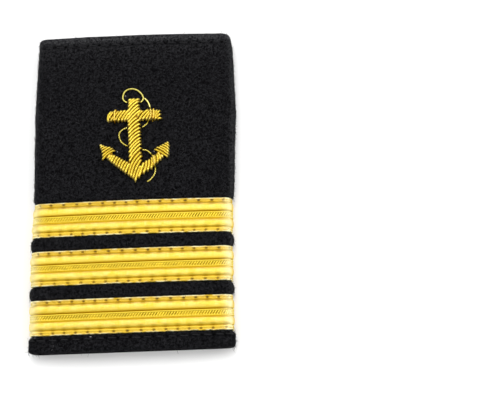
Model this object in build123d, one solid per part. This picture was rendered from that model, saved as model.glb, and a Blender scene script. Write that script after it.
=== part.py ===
from build123d import *
from collections import namedtuple
import math
import os

# A slip-on shoulder board: a flattened sleeve of felt that slides over a shoulder strap, three stripes
# of woven gold lace wrapped round it, and an anchor embroidered in gold wire on its upper panel.
# The board lies on its back. X runs across it, +Y points to its neck end and +Z out of its front.
# The origin is the middle of its footprint, on the surface that it lies on. Lengths are millimetres.

# Felt sleeve
board_length = 92.0
board_width = 60.0
side_height = 7.4        # from the back to the front, where the sides turn round
front_crown = 1.0        # how far the front rises from its sides to its middle
length_arch = 1.0        # how far the front rises from its ends to its middle
felt_thickness = 1.2
hem_thickness = 1.5      # the wall where the felt is folded in
hem_depth = 5.5          # how deep that fold goes
hem_slope = 0.6          # the length over which the fold runs out
hem_stitch_inset = 2.9   # from the folded edge to the line of stitches
stitch_depth = 0.25      # how deep the stitches pull the felt down
stitch_pull = 0.9        # how far that dent reaches each side of the stitches
corner_radius = 1.5      # of the four corners, seen from the front
lip_radius = 0.55        # of the folded edges

# Lace stripes
lace_names = ["bottom", "middle", "top"]
lace_width = 10.0
lace_thickness = 0.8
lace_spacing = 3.7       # bare felt between two stripes
bottom_bare_width = 4.65  # bare felt below the lowest stripe
lace_return = 8.0        # how far each end of a lace runs in on the back
side_bulge = 0.3         # how far bare felt stands proud of the lace at the sides
front_press = 0.3        # how far a lace presses the front down
back_clearance = 0.1     # how far the lace stays off the surface below the back
press_run = 0.7          # the length over which the felt goes down beside a lace

# Anchor
anchor_middle = 0.9      # its centre line lies a little right of the board's
anchor_inset = 5.55      # from the top stripe to the point of the crown
anchor_span = 19.7       # over both flukes
anchor_height = 27.3     # from the point of the crown to the top of the ring
strand_width = 0.78      # one strand of bullion
strand_groove = 0.22     # how much lower the anchor is between two strands
strand_end_step = 0.22   # how far a strand's end stands out past the groove beside it
strand_shoulder = 0.25   # where a strand's top begins to round off, in shares of its width
shoulder_share = 0.2     # how much of the groove's depth it has lost there
bullion_edge = 0.25      # height of the bullion at its edges
border_share = 0.6       # height of its first and last edge, in shares of a strand's
border_cut = 0.12        # how much shorter those edges are at each end, in shares of a strand's length
most_inset = 0.3         # the most that a groove's end is set in, in shares of a strand's length
short_slope = 0.33       # rise of a short strand's arch for each millimetre of its length
shank_width = 3.45
shank_rise = 1.9
shank_slant = 48.0       # of the strands, in degrees from +X
stock_length = 15.4
stock_width = 3.1
stock_rise = 1.7
stock_slant_left = 66.0
stock_slant_right = 57.0
stock_right_cut = 0.25   # how far its right end leans in at the top, in shares of a strand's lean
arm_rise = 1.8
fluke_rise = 1.6
ring_diameter = 5.9      # to the middle of the wire
ring_wire = 0.6
rope_diameter = 0.55
band_wire = 0.5

# Clearance between pieces that are sewn to each other, and between a wire and what it is laid over
fit_gap = 0.05
wire_gap = 0.15

# Making: how far cutting solids run past what they cut, and the turn between two sections of a wire
overshoot = 2.0
wire_turn = 20

# The felt's side edges. along is a share of the length from the bottom end, left and right are shares
# of half the width: the board is wider at its bottom left and its top right.
Side = namedtuple("Side", "along left right")
side_table = [
    Side(0.000, 0.997, 0.927),
    Side(0.030, 1.000, 0.931),
    Side(0.190, 0.988, 0.932),
    Side(0.340, 0.981, 0.948),
    Side(0.470, 0.954, 0.957),
    Side(0.560, 0.949, 0.972),
    Side(0.640, 0.948, 0.984),
    Side(0.730, 0.946, 1.000),
    Side(0.820, 0.941, 0.997),
    Side(0.900, 0.932, 0.994),
    Side(0.955, 0.919, 0.988),
    Side(0.980, 0.915, 0.976),
    Side(1.000, 0.913, 0.972),
]

# Relief of the lace from one edge to its middle. across is a share of the width, height a share of
# the thickness: an edge band, a rounded satin band and a ribbed middle, with grooves between them.
Relief = namedtuple("Relief", "across height")
lace_table = [
    Relief(0.000, 0.45),
    Relief(0.020, 0.62),
    Relief(0.120, 0.66),
    Relief(0.135, 0.48),
    Relief(0.150, 0.80),
    Relief(0.250, 1.00),
    Relief(0.360, 0.82),
    Relief(0.378, 0.50),
    Relief(0.402, 0.50),
    Relief(0.415, 0.86),
    Relief(0.500, 0.92),
]

# Strands of the two arms, from the left arm's end through the crown to the right arm's end. Each row
# is one strand's lower and upper end: across in shares of half the anchor's span, up in shares of its
# height. The strands between two rows are spaced evenly.
Strand = namedtuple("Strand", "low_across low_up high_across high_up")
arm_table = [
    Strand(-0.706, 0.229, -0.629, 0.284),
    Strand(-0.547, 0.167, -0.490, 0.260),
    Strand(-0.271, 0.093, -0.207, 0.203),
    Strand(-0.152, 0.059, 0.005, 0.238),
    Strand(-0.050, 0.030, 0.170, 0.262),
    Strand(0.015, 0.001, 0.198, 0.220),
    Strand(0.132, 0.038, 0.264, 0.201),
    Strand(0.374, 0.105, 0.418, 0.225),
    Strand(0.558, 0.150, 0.563, 0.264),
    Strand(0.766, 0.222, 0.695, 0.280),
]

# Corners of the flukes, in the same shares: the tip, the outer side, and the two ends of the base
Corner = namedtuple("Corner", "across up")
fluke_left_corners = [
    Corner(-0.990, 0.407),
    Corner(-0.985, 0.308),
    Corner(-0.919, 0.236),
    Corner(-0.533, 0.342),
]
fluke_right_corners = [
    Corner(0.975, 0.405),
    Corner(1.000, 0.308),
    Corner(0.961, 0.238),
    Corner(0.599, 0.337),
]

# Shank and stock, in the same shares: heights along the shank and where the shank leans to
shank_foot_up = 0.209
shank_top_up = 0.893
shank_foot_across = 0.018
shank_top_across = -0.018
shank_top_corner = 0.12       # how much of its width each top corner is cut back
stock_up = 0.711
ring_up = 0.896
ring_across = -0.022
ring_left_end = [(-0.70, -0.36), (-0.90, -0.22)]                   # in shares of the ring's radius
ring_right_end = [(0.95, -0.20), (0.82, -0.37), (0.68, -0.44)]
band_left_across = -0.558
band_right_across = 0.585

# Route of the rope. over is how much of the bar it crosses it has to climb, on top of lying flat.
Route = namedtuple("Route", "across up over")
rope_upper_route = [
    Route(0.352, 0.879, 0.0),
    Route(0.432, 0.833, 0.0),
    Route(0.462, 0.800, 0.0),
    Route(0.476, 0.781, 0.28),
    Route(0.483, 0.762, 0.80),
    Route(0.488, 0.740, 1.02),
    Route(0.490, 0.711, 1.09),
    Route(0.486, 0.682, 1.02),
    Route(0.474, 0.660, 0.80),
    Route(0.456, 0.641, 0.28),
    Route(0.428, 0.627, 0.0),
    Route(0.360, 0.601, 0.0),
    Route(0.262, 0.580, 0.0),
]
rope_left_route = [
    Route(-0.248, 0.574, 0.0),
    Route(-0.335, 0.552, 0.0),
    Route(-0.410, 0.520, 0.0),
    Route(-0.444, 0.494, 0.0),
    Route(-0.430, 0.467, 0.0),
    Route(-0.399, 0.432, 0.0),
    Route(-0.338, 0.405, 0.0),
    Route(-0.277, 0.389, 0.0),
    Route(-0.215, 0.377, 0.0),
]
rope_lower_route = [
    Route(0.236, 0.322, 0.0),
    Route(0.311, 0.325, 0.0),
    Route(0.381, 0.317, 0.0),
    Route(0.452, 0.302, 0.0),
    Route(0.512, 0.286, 0.16),
    Route(0.545, 0.272, 0.60),
    Route(0.563, 0.252, 0.88),
    Route(0.573, 0.226, 1.01),
    Route(0.580, 0.200, 1.01),
    Route(0.589, 0.174, 0.87),
    Route(0.598, 0.150, 0.60),
    Route(0.604, 0.132, 0.16),
    Route(0.602, 0.108, 0.0),
    Route(0.585, 0.076, 0.0),
    Route(0.543, 0.047, 0.0),
    Route(0.481, 0.014, 0.0),
    Route(0.420, -0.004, 0.0),
    Route(0.353, -0.022, 0.0),
]

half_width = board_width / 2
half_length = board_length / 2
bottom_end = -half_length
top_end = half_length
side_press = fit_gap + lace_thickness + side_bulge
back_press = fit_gap + lace_thickness + back_clearance
lowest_lace = bottom_end + bottom_bare_width
lace_starts = [lowest_lace + n * (lace_width + lace_spacing) for n in range(len(lace_names))]
anchor_foot = lace_starts[-1] + lace_width + anchor_inset


def between(table, along):
    """The two side edges at a share of the length, read from the table."""
    for low, high in zip(table, table[1:]):
        if along <= high.along:
            share = (along - low.along) / (high.along - low.along)
            return (low.left + share * (high.left - low.left),
                    low.right + share * (high.right - low.right))
    return table[-1].left, table[-1].right


def round_off(distance, radius):
    """How far a rounded edge lies in from its full size, at a distance from the end."""
    if distance >= radius:
        return 0.0
    return radius - math.sqrt(max(radius ** 2 - (radius - distance) ** 2, 0.0))


def end_distance(y):
    return max(half_length - abs(y), 0.0)


def lace_press(y):
    """1 under a lace, 0 on bare felt, and in between where the felt goes down beside a lace."""
    for start in lace_starts:
        outside = max(start - y, y - start - lace_width) - fit_gap
        if outside < press_run:
            return 1.0 - max(outside, 0.0) / press_run
    return 0.0


def stitch_press(y):
    """How deep the hem's stitches pull the felt down."""
    off_line = abs(end_distance(y) - hem_stitch_inset)
    return stitch_depth * max(1.0 - off_line / stitch_pull, 0.0)


Shape = namedtuple("Shape", "left right low high crown")


def felt_shape(y, dent=1.0):
    """The felt's face at y: its side edges, its back and front at the sides, and its crown."""
    left_share, right_share = between(side_table, (y - bottom_end) / board_length)
    side_in = side_press * lace_press(y) + round_off(end_distance(y), corner_radius)
    down = dent * stitch_press(y)
    arch = length_arch * (1.0 - (y / half_length) ** 2)
    return Shape(
        left=-half_width * left_share + side_in,
        right=half_width * right_share - side_in,
        low=back_press * lace_press(y) + down,
        high=side_height + arch - front_press * lace_press(y) - down,
        crown=front_crown,
    )


def section(shape, y, grow):
    """Closed outline across the board: flat back, round sides and a crowned front, grown outwards."""
    low = shape.low - grow
    high = shape.high + grow
    radius = (high - low) / 2
    left = shape.left - grow
    right = shape.right + grow
    middle = (low + high) / 2
    back = Line((left + radius, y, low), (right - radius, y, low))
    right_side = ThreePointArc((right - radius, y, low), (right, y, middle), (right - radius, y, high))
    top = ((left + right) / 2, y, high + shape.crown)
    front = ThreePointArc((right - radius, y, high), top, (left + radius, y, high))
    left_side = ThreePointArc((left + radius, y, high), (left, y, middle), (left + radius, y, low))
    return Wire([back, right_side, front, left_side])


def front_height(x, y):
    """Height of the felt's front face."""
    shape = felt_shape(y)
    radius = (shape.high - shape.low) / 2
    half_chord = (shape.right - shape.left) / 2 - radius
    bend = (half_chord ** 2 + shape.crown ** 2) / (2 * shape.crown)
    off_middle = x - (shape.left + shape.right) / 2
    return shape.high + shape.crown - bend + math.sqrt(bend ** 2 - off_middle ** 2)


def sleeve_stations():
    """Places along the board where its outline changes."""
    stations = {bottom_end, top_end}
    round_steps = [1 - math.cos(math.radians(angle)) for angle in (30, 60, 90)]
    distances = [corner_radius * step for step in round_steps] + [lip_radius * step for step in round_steps]
    distances += [hem_stitch_inset - stitch_pull, hem_stitch_inset, hem_stitch_inset + stitch_pull]
    for distance in distances:
        stations |= {bottom_end + distance, top_end - distance}
    for start in lace_starts:
        low, high = start - fit_gap, start + lace_width + fit_gap
        stations |= {low - press_run, low, (low + high) / 2, high, high + press_run}
    for row in side_table:
        y = bottom_end + row.along * board_length
        if lace_press(y) == 0.0 and end_distance(y) > hem_depth:
            stations.add(y)
    return sorted(stations)


def spaced(stations, least):
    """The stations without those that lie closer together than the least distance."""
    kept = [stations[0]]
    for y in stations[1:]:
        if y - kept[-1] >= least:
            kept.append(y)
    kept[-1] = stations[-1]
    return kept


def cloth_sleeve():
    """The felt sleeve, open at both ends, with both ends folded in as hems."""
    stations = spaced(sleeve_stations(), fit_gap)
    outer = []
    for y in stations:
        outer.append(section(felt_shape(y), y, -round_off(end_distance(y), lip_radius)))
    fold_ends = [bottom_end + hem_depth, bottom_end + hem_depth + hem_slope,
                 top_end - hem_depth - hem_slope, top_end - hem_depth]
    inner = []
    inner_stations = spaced(sorted(set(stations + fold_ends)), fit_gap)
    for y in inner_stations:
        fold = min(max(1.0 - (end_distance(y) - hem_depth) / hem_slope, 0.0), 1.0)
        wall = felt_thickness + fold * (hem_thickness - felt_thickness)
        inner.append(section(felt_shape(y, dent=0.0), y, round_off(end_distance(y), lip_radius) - wall))
    mouth = lip_radius - hem_thickness
    before = section(felt_shape(bottom_end), bottom_end - overshoot, mouth)
    after = section(felt_shape(top_end), top_end + overshoot, mouth)
    hollow = Solid.make_loft([before] + inner + [after], ruled=True)
    return Solid.make_loft(outer, ruled=True) - hollow


def lace_stripe(start):
    """One lace: a ribbed band round the front and both sides that ends a little way in on the back."""
    half = [(row.across, row.height) for row in lace_table]
    other_half = [(1.0 - across, height) for across, height in reversed(half[:-1])]
    outer = []
    for across, height in half + other_half:
        y = start + across * lace_width
        outer.append(section(felt_shape(y), y, fit_gap + height * lace_thickness))
    end = start + lace_width
    middle = start + lace_width / 2
    inner = [
        section(felt_shape(start), start - overshoot, fit_gap),
        section(felt_shape(start), start, fit_gap),
        section(felt_shape(middle), middle, fit_gap),
        section(felt_shape(end), end, fit_gap),
        section(felt_shape(end), end + overshoot, fit_gap),
    ]
    shape = felt_shape(middle)
    gap_left = shape.left + lace_return
    gap_right = shape.right - lace_return
    back_gap = Box(gap_right - gap_left, lace_width + 2 * overshoot, side_height)
    back_gap = Pos((gap_left + gap_right) / 2, middle, 0) * back_gap
    return Solid.make_loft(outer, ruled=True) - Solid.make_loft(inner, ruled=True) - back_gap


def anchor_point(across, up):
    """A place on the board, from shares of the anchor's half span and of its height."""
    return anchor_middle + across * anchor_span / 2, anchor_foot + up * anchor_height


def arch_section(low_end, high_end, inset, rise):
    """Upright outline along one strand: a flat foot on the felt and an arch over the padding."""
    length = math.dist(low_end, high_end)
    along = [(high_end[n] - low_end[n]) / length for n in range(2)]
    inset = min(inset, most_inset * length)
    first = (low_end[0] + along[0] * inset, low_end[1] + along[1] * inset)
    last = (high_end[0] - along[0] * inset, high_end[1] - along[1] * inset)
    middle = ((first[0] + last[0]) / 2, (first[1] + last[1]) / 2)
    first_foot = (*first, front_height(*first) + fit_gap)
    last_foot = (*last, front_height(*last) + fit_gap)
    first_edge = (*first, first_foot[2] + bullion_edge)
    last_edge = (*last, last_foot[2] + bullion_edge)
    top = (*middle, front_height(*middle) + fit_gap + rise)
    return Wire([Line(first_foot, last_foot), Line(last_foot, last_edge),
                 ThreePointArc(last_edge, top, first_edge), Line(first_edge, first_foot)])


def strand_rise(strand, full_rise):
    """Height of the arch over one strand: short strands lie lower."""
    return min(full_rise, strand_width / 2 + bullion_edge + short_slope * math.dist(*strand))


def blend(strand_a, strand_b, share):
    """The strand that lies between two others."""
    return [tuple(a + share * (b - a) for a, b in zip(*ends)) for ends in zip(strand_a, strand_b)]


def border(strand, neighbour):
    """The outer edge of an end strand: half a step away from its neighbour, and shorter."""
    middle = blend(strand, strand[::-1], 0.5)[0]
    next_middle = blend(neighbour, neighbour[::-1], 0.5)[0]
    shift = [(here - there) / 2 for here, there in zip(middle, next_middle)]
    moved = [(x + shift[0], y + shift[1]) for x, y in strand]
    return blend(moved, moved[::-1], border_cut)


def bullion(strands, full_rise):
    """Raised embroidery: a ridge for each strand with a groove beside it, its two ends rounded off."""
    before = border(strands[0], strands[1])
    after = border(strands[-1], strands[-2])
    wires = [arch_section(*before, 0.0, strand_rise(before, full_rise) * border_share)]
    for number, strand in enumerate(strands):
        neighbours = (strands[max(number - 1, 0)], strands[min(number + 1, len(strands) - 1)])
        rise = strand_rise(strand, full_rise)
        down = strand_groove * shoulder_share
        step = strand_end_step * shoulder_share
        for neighbour in (neighbours[0], None, neighbours[1]):
            if neighbour is None:
                wires.append(arch_section(*strand, 0.0, rise))
            elif neighbour is not strand:
                wires.append(arch_section(*blend(strand, neighbour, strand_shoulder), step, rise - down))
        if number < len(strands) - 1:
            groove = blend(strand, neighbours[1], 0.5)
            groove_rise = strand_rise(groove, full_rise) - strand_groove
            wires.append(arch_section(*groove, strand_end_step, groove_rise))
    wires.append(arch_section(*after, 0.0, strand_rise(after, full_rise) * border_share))
    return Solid.make_loft(wires, ruled=True)


def chord(corners, slant, offset):
    """The stretch inside a convex outline of the line at a slant and an offset from the origin."""
    along = (math.cos(slant), math.sin(slant))
    across = (-along[1], along[0])
    crossings = []
    for first, second in zip(corners, corners[1:] + corners[:1]):
        side_first = first[0] * across[0] + first[1] * across[1] - offset
        side_second = second[0] * across[0] + second[1] * across[1] - offset
        if side_first * side_second < 0:
            share = side_first / (side_first - side_second)
            crossings.append(tuple(a + share * (b - a) for a, b in zip(first, second)))
    return sorted(crossings, key=lambda point: point[0] * along[0] + point[1] * along[1])


def strands_across(corners, slant):
    """Strands at one slant that fill a convex outline side by side."""
    across = (-math.sin(slant), math.cos(slant))
    offsets = [corner[0] * across[0] + corner[1] * across[1] for corner in corners]
    count = max(round((max(offsets) - min(offsets)) / strand_width), 2)
    width = (max(offsets) - min(offsets)) / count
    strands = [chord(corners, slant, min(offsets) + (number + 0.5) * width) for number in range(count)]
    return [strand for strand in strands if math.dist(*strand) > strand_width / 2]


def shank_corners(grow):
    """The shank's outline, its foot cut off along the strands, grown sideways."""
    foot_x, foot_y = anchor_point(shank_foot_across, shank_foot_up)
    top_x, top_y = anchor_point(shank_top_across, shank_top_up)
    half = shank_width / 2 + grow
    foot_rise = shank_width * math.tan(math.radians(shank_slant))
    cut = shank_top_corner * shank_width
    return [(foot_x - half, foot_y), (foot_x + half, foot_y + foot_rise), (top_x + half, top_y - cut),
            (top_x + half - cut, top_y), (top_x - half + cut, top_y), (top_x - half, top_y - cut)]


def anchor_shank():
    return bullion(strands_across(shank_corners(0.0), math.radians(shank_slant)), shank_rise)


def stock_half(side, slant):
    """One half of the crossbar, cut off upright where it meets the shank."""
    middle_x, middle_y = anchor_point(0.0, stock_up)
    end = middle_x + side * stock_length / 2
    lean = stock_width / math.tan(math.radians(slant))
    low, high = middle_y - stock_width / 2, middle_y + stock_width / 2
    outer_low = end
    outer_high = end + lean if side < 0 else end - stock_right_cut * lean
    corners = [(middle_x, low), (outer_low, low), (outer_high, high), (middle_x, high)]
    shank = Polyline(*[(x, y, 0) for x, y in shank_corners(fit_gap)], close=True)
    shank = extrude(make_face(shank), amount=side_height + length_arch + front_crown + shank_rise + overshoot)
    half = bullion(strands_across(corners, math.radians(slant)), stock_rise) - shank
    return max(half.solids(), key=lambda solid: solid.volume)


def anchor_arms():
    """The V of the two arms, one piece through the crown."""
    rows = []
    for row in arm_table:
        rows.append([anchor_point(row.low_across, row.low_up), anchor_point(row.high_across, row.high_up)])
    strands = [rows[0]]
    for low, high in zip(rows, rows[1:]):
        span = (math.dist(low[0], high[0]) + math.dist(low[1], high[1])) / 2
        count = max(round(span / strand_width), 1)
        strands += [blend(low, high, (number + 1) / count) for number in range(count)]
    return bullion(strands, arm_rise)


def anchor_fluke(corner_table):
    """One fluke: a pointed leaf whose strands run along its base."""
    corners = [anchor_point(corner.across, corner.up) for corner in corner_table]
    low, high = corners[2], corners[3]
    return bullion(strands_across(corners, math.atan2(high[1] - low[1], high[0] - low[0])), fluke_rise)


def wire(points, diameter):
    """A round wire through its middle points."""
    rings = []
    for number, point in enumerate(points):
        before = points[max(number - 1, 0)]
        after = points[min(number + 1, len(points) - 1)]
        way = Vector(*after) - Vector(*before)
        across = Plane(origin=point, x_dir=way.cross(Vector(0, 0, 1)), z_dir=way)
        rings.append(Wire.make_circle(diameter / 2, across))
    return Solid.make_loft(rings, ruled=True)


def lying(x, y, diameter, lift=0.0):
    """Middle of a wire that lies on the felt, or is lifted off it."""
    return x, y, front_height(x, y) + fit_gap + diameter / 2 + lift


def anchor_ring():
    """The ring: a round of wire whose two ends turn in to the sides of the shank."""
    middle_x, middle_y = anchor_point(ring_across, ring_up)
    radius = ring_diameter / 2
    turns = [math.radians(angle) for angle in range(180, -1, -wire_turn)]
    shares = ring_left_end + [(math.cos(turn), math.sin(turn)) for turn in turns] + ring_right_end
    points = [lying(middle_x + a * radius, middle_y + b * radius, ring_wire) for a, b in shares]
    return wire(points, ring_wire)


def anchor_band(across):
    """A single wire laid across the stock, from the felt on one side to the felt on the other."""
    middle_x, middle_y = anchor_point(across, stock_up)
    reach = stock_width / 2 + band_wire / 2 + wire_gap
    climb = stock_rise + band_wire / 2 + fit_gap
    foot = front_height(middle_x, middle_y) + 2 * fit_gap
    points = []
    for angle in range(0, 181, wire_turn):
        turn = math.radians(angle)
        points.append((middle_x, middle_y + reach * math.cos(turn), foot + climb * math.sin(turn)))
    return wire(points, band_wire)


def rope(route, bar_rise):
    """A stretch of the rope, couched on the felt and laid over what it crosses."""
    points = []
    for step in route:
        x, y = anchor_point(step.across, step.up)
        points.append(lying(x, y, rope_diameter, step.over * bar_rise))
    return wire(points, rope_diameter)


pieces = {"cloth_sleeve": cloth_sleeve()}
for name, start in zip(lace_names, lace_starts):
    pieces["lace_stripe_" + name] = lace_stripe(start)
pieces["anchor_shank"] = anchor_shank()
pieces["anchor_stock_left"] = stock_half(-1, stock_slant_left)
pieces["anchor_stock_right"] = stock_half(1, stock_slant_right)
pieces["anchor_arms"] = anchor_arms()
pieces["anchor_fluke_left"] = anchor_fluke(fluke_left_corners)
pieces["anchor_fluke_right"] = anchor_fluke(fluke_right_corners)
pieces["anchor_ring"] = anchor_ring()
pieces["anchor_band_left"] = anchor_band(band_left_across)
pieces["anchor_band_right"] = anchor_band(band_right_across)
pieces["anchor_rope_upper"] = rope(rope_upper_route, stock_rise)
pieces["anchor_rope_left"] = rope(rope_left_route, 0.0)
pieces["anchor_rope_lower"] = rope(rope_lower_route, arm_rise)

os.makedirs("parts", exist_ok=True)
for name, piece in pieces.items():
    export_step(piece, "parts/" + name + ".step")
    size = piece.bounding_box().size
    print(name, round(piece.volume, 2), [round(side, 2) for side in (size.X, size.Y, size.Z)])
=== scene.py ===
import itertools
import math
from collections import namedtuple

import bpy
import numpy as np
from mathutils import Matrix, Vector


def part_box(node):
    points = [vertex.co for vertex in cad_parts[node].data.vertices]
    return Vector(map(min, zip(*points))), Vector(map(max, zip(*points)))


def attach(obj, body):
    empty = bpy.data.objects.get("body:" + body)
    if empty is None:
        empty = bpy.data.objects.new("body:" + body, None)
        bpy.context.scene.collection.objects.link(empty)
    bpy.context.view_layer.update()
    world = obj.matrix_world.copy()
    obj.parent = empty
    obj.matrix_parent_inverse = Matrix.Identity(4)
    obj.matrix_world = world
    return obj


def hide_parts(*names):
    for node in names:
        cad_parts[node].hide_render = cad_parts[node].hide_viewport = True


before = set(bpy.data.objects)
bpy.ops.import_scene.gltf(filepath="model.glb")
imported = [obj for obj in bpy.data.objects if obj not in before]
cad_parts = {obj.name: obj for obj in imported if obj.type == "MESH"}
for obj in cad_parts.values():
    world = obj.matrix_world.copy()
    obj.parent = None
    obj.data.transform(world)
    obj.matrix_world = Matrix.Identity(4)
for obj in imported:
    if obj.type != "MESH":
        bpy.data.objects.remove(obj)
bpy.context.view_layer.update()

# The looks of a slip-on shoulder board: a felt sleeve, three woven gold laces and an anchor of gold
# bullion. Lengths are millimetres in the board's own frame, and piece() turns them into Blender's metres.
# Only the lights' places and sizes are written in metres.
MM = 0.001
chance = np.random.default_rng(7)

# Felt sleeve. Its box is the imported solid's.
sleeve_low, sleeve_high = (np.array(corner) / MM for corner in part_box("cloth_sleeve"))
half_width = (sleeve_high[0] - sleeve_low[0]) / 2
half_length = (sleeve_high[1] - sleeve_low[1]) / 2
front_crown = 1.0
length_arch = 1.0
side_height = sleeve_high[2] - front_crown - length_arch
felt_thickness = 1.2
hem_thickness = 1.5
hem_depth = 5.5
hem_slope = 0.6
stitch_insets = (3.65, 2.9)       # at the bottom end and at the neck end
stitch_length, stitch_gap = 2.3, 1.0
hem_thread_radius = 0.20
corner_radius = 1.1
lip_radius = 0.5
side_square = 2.7                 # 2 is a round side edge, more is a squarer one
end_square = 3.8                  # the same near the board's ends
square_reach, square_run = 8.0, 4.0    # where that has faded out, and the length over which it fades

# Lace
lace_names = ["bottom", "middle", "top"]
lace_starts = [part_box("lace_stripe_" + name)[0].y / MM for name in lace_names]
lace_width = (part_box("lace_stripe_top")[1].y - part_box("lace_stripe_top")[0].y) / MM
lace_thickness = 0.8
lace_return = 8.0                 # how far each end runs in on the back
side_bulge = 0.12                 # how far bare felt stands proud of a lace at the sides
front_press = 0.3                 # how far a lace presses the front down
back_clearance = 0.1
press_run = 0.5                   # the length over which the felt goes down beside a lace
lobe_run = 1.4                    # the same at the felt's sides
fit_gap = 0.05                    # between the felt and what lies on it
side_press = fit_gap + lace_thickness + side_bulge
back_press = fit_gap + lace_thickness + back_clearance

# The felt's side edges: along in shares of its length from the bottom end, left and right in shares of
# half its width
Side = namedtuple("Side", "along left right")
side_table = [
    Side(0.000, 0.986, 0.927),
    Side(0.030, 0.990, 0.931),
    Side(0.190, 0.988, 0.932),
    Side(0.340, 0.981, 0.948),
    Side(0.470, 0.954, 0.957),
    Side(0.560, 0.949, 0.972),
    Side(0.640, 0.948, 0.984),
    Side(0.730, 0.946, 1.000),
    Side(0.820, 0.941, 0.997),
    Side(0.900, 0.932, 0.994),
    Side(0.955, 0.919, 0.988),
    Side(0.980, 0.915, 0.976),
    Side(1.000, 0.913, 0.972),
]


def smooth_step(value):
    """0 below 0, 1 above 1 and a soft passage in between."""
    value = np.clip(value, 0.0, 1.0)
    return value * value * (3.0 - 2.0 * value)


def bell(distance, width):
    """1 at no distance, and close to 0 beyond twice the width."""
    return np.exp(-(distance / width) ** 2)


def part_way(first, last, share):
    return first + share * (last - first)


# Numbers of the hash that cloudy() gives each corner of its cells
hash_start, hash_step, hash_mix, hash_bits = 1469598103, 16777619, 1274126177, 0x7FFFFFFF


def cloudy(points, size, seed):
    """Soft random relief from -1 to 1 over points, in blobs about as large as the size."""
    cells = np.asarray(points, float) / size + 17.3 * seed
    corner = np.floor(cells).astype(np.int64)
    share = smooth_step(cells - corner)
    total = np.zeros(cells.shape[:-1])
    for step in itertools.product((0, 1), repeat=cells.shape[-1]):
        mixed = np.full(cells.shape[:-1], hash_start, np.int64)
        weight = np.ones(cells.shape[:-1])
        for axis, move in enumerate(step):
            mixed = ((mixed ^ (corner[..., axis] + move)) * hash_step) & hash_bits
            weight = weight * (share[..., axis] if move else 1.0 - share[..., axis])
        mixed = (mixed ^ (mixed >> 13)) * hash_mix & hash_bits
        total += weight * ((mixed >> 7) % 2048 / 1023.5 - 1.0)
    return total


def round_off(distance, radius):
    """How far a rounded edge lies in from its full size, at a distance from the end."""
    inside = np.clip(radius - distance, 0.0, radius)
    return radius - np.sqrt(radius ** 2 - inside ** 2)


def end_distance(y):
    return np.maximum(half_length - np.abs(y), 0.0)


def off_lace(y):
    """How far a place along the board lies outside the nearest lace and its gap."""
    outside = [np.maximum(start - y, y - start - lace_width) for start in lace_starts]
    return np.maximum(np.min(outside, axis=0) - fit_gap, 0.0)


def lace_press(y):
    """1 under a lace, 0 on bare felt, and in between where the felt goes down beside a lace."""
    return 1.0 - smooth_step(off_lace(y) / press_run)


def lobe_press(y):
    """Like lace_press, with the felt's sides rounded off beside each lace."""
    inside = np.clip(1.0 - off_lace(y) / lobe_run, 0.0, 1.0)
    return 1.0 - np.sqrt(1.0 - inside ** 2)


def outline(y, grow):
    """Left, right, lowest and highest edge of the board's outline at y, grown outwards."""
    along = (y + half_length) / (2 * half_length)
    ends = [row.along for row in side_table]
    left_share = np.interp(along, ends, [row.left for row in side_table])
    right_share = np.interp(along, ends, [row.right for row in side_table])
    pressed = lace_press(y)
    side_in = side_press * lobe_press(y) + round_off(end_distance(y), corner_radius)
    arch = length_arch * (1.0 - (y / half_length) ** 2)
    left = -half_width * left_share + side_in - grow
    right = half_width * right_share - side_in + grow
    low = back_press * pressed - grow
    high = side_height + arch - front_press * pressed + grow
    return left, right, low, high


def front_bend(left, right, low, high):
    """Half the chord of the front's crown, between its side edges, and the radius of that crown."""
    half_chord = (right - left) / 2 - (high - low) / 2
    return half_chord, (half_chord ** 2 + front_crown ** 2) / (2 * front_crown)


def crown_height(high, bend, off_middle):
    """Height of the front's crown at a distance from its middle."""
    return high + front_crown - bend + np.sqrt(bend ** 2 - off_middle ** 2)


def board_point(turn, y, grow):
    """Points round the board. turn goes 0 to 1 over the back, 1 to 2 up the right side, 2 to 3 over the
    front from right to left and 3 to 4 down the left side."""
    turn, y, grow = np.broadcast_arrays(np.mod(turn, 4.0), np.asarray(y, float), grow)
    left, right, low, high = outline(y, grow)
    half_chord, bend = front_bend(left, right, low, high)
    radius = (high - low) / 2
    middle = (high + low) / 2
    part = np.minimum(turn.astype(int), 3)
    share = turn - part
    angle = share * math.pi
    across = (1.0 - 2.0 * share) * half_chord
    squarer = smooth_step((square_reach - end_distance(y)) / square_run)
    power = 2.0 / part_way(side_square, end_square, squarer)
    swing = radius * np.abs(np.sin(angle)) ** power
    climb = radius * np.sign(np.cos(angle)) * np.abs(np.cos(angle)) ** power
    x = np.choose(part, [(left + right) / 2 - across, right - radius + swing,
                         (left + right) / 2 + across, left + radius - swing])
    z = np.choose(part, [low, middle - climb, crown_height(high, bend, across), middle + climb])
    return np.stack([x, y, z], axis=-1)


def front_height(x, y):
    """Height of the felt's front face under a place on it."""
    x, y = np.broadcast_arrays(np.asarray(x, float), np.asarray(y, float))
    left, right, low, high = outline(y, 0.0)
    _, bend = front_bend(left, right, low, high)
    return crown_height(high, bend, x - (left + right) / 2)


def on_felt(flat, above):
    """Points over places on the felt's front, at a height above it."""
    return np.column_stack([flat, front_height(flat[:, 0], flat[:, 1]) + above])


# Mesh helpers


def grid_faces(rows, columns, close_rows=False, close_columns=False):
    """Four-sided faces of a grid of points numbered row by row."""
    numbers = np.arange(rows * columns).reshape(rows, columns)
    if close_rows:
        numbers = np.vstack([numbers, numbers[:1]])
    if close_columns:
        numbers = np.hstack([numbers, numbers[:, :1]])
    return np.stack([numbers[:-1, :-1], numbers[:-1, 1:], numbers[1:, 1:], numbers[1:, :-1]],
                    axis=-1).reshape(-1, 4)


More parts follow.
